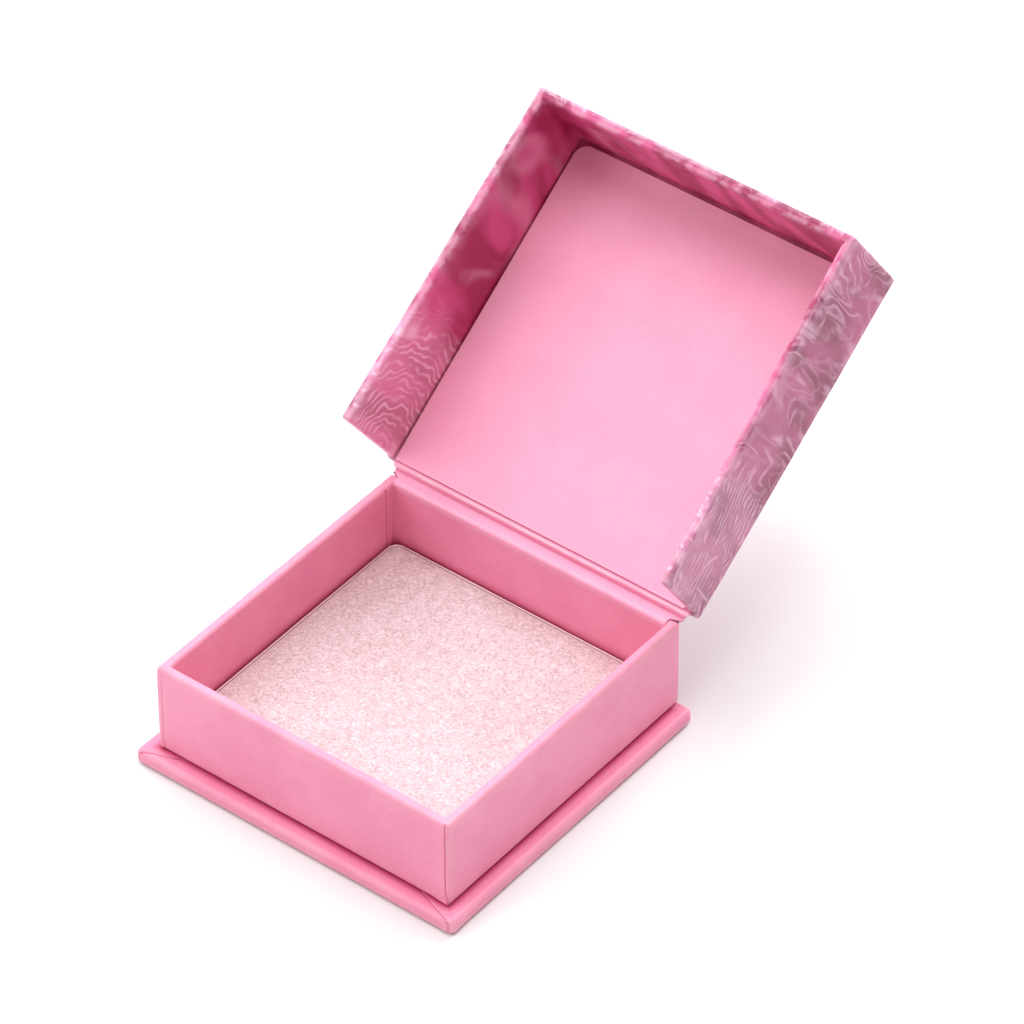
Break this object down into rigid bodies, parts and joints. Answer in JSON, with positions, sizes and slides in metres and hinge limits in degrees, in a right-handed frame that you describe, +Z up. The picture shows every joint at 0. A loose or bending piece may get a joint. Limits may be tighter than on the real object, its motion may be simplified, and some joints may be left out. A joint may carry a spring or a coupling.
{
  "type": "hinged box",
  "caption": "Small square rigid paperboard box with a paper-hinged lid, a wrapped tray on a wider base board and a pan of pressed powder in it.",
  "frame": {"origin": "middle of the tray's width and depth, on the underside of the base board", "axes": "+Z up, -Y towards the front of the box, +Y towards the hinge, +X to the right seen from the front"},
  "size_m": [0.0696, 0.1216, 0.077],
  "materials": {
    "greyboard": "raw grey chipboard",
    "kraft_tape": "matt brown kraft tape",
    "pink_paper": "smooth satin pink covering paper",
    "patterned_paper": "semi-gloss paper printed with rippled-water veins",
    "liner_card": "smooth matt pink card",
    "pan_metal": "satin drawn metal",
    "pressed_powder": "grainy pressed powder with a fine shimmer"
  },
  "bodies": {
    "tray_base": {"base_board": "greyboard", "base_wrap": "pink_paper", "tray_floor_board": "greyboard", "tray_wall_front": "greyboard", "tray_wall_rear": "greyboard", "tray_wall_left": "greyboard", "tray_wall_right": "greyboard", "tray_stay_front_left": "kraft_tape", "tray_stay_front_right": "kraft_tape", "tray_stay_rear_left": "kraft_tape", "tray_stay_rear_right": "kraft_tape", "tray_wrap": "pink_paper", "tray_bottom_paper": "pink_paper", "powder_pan": "pan_metal", "pressed_powder": "pressed_powder", "hinge_strip": "pink_paper", "rear_cover_paper": "patterned_paper"},
    "lid": {"lid_top_board": "greyboard", "lid_wall_front": "greyboard", "lid_wall_left": "greyboard", "lid_wall_right": "greyboard", "lid_stay_left": "kraft_tape", "lid_stay_right": "kraft_tape", "lid_wrap": "patterned_paper", "lid_liner": "liner_card"}
  },
  "joints": [
    {"name": "lid_hinge", "type": "hinge", "parent": "tray_base", "child": "lid", "pos_m": [0, 0.03275, 0.02265], "axis": [-1, 0, 0], "range_deg": [-144.4, 35.6]}
  ]
}
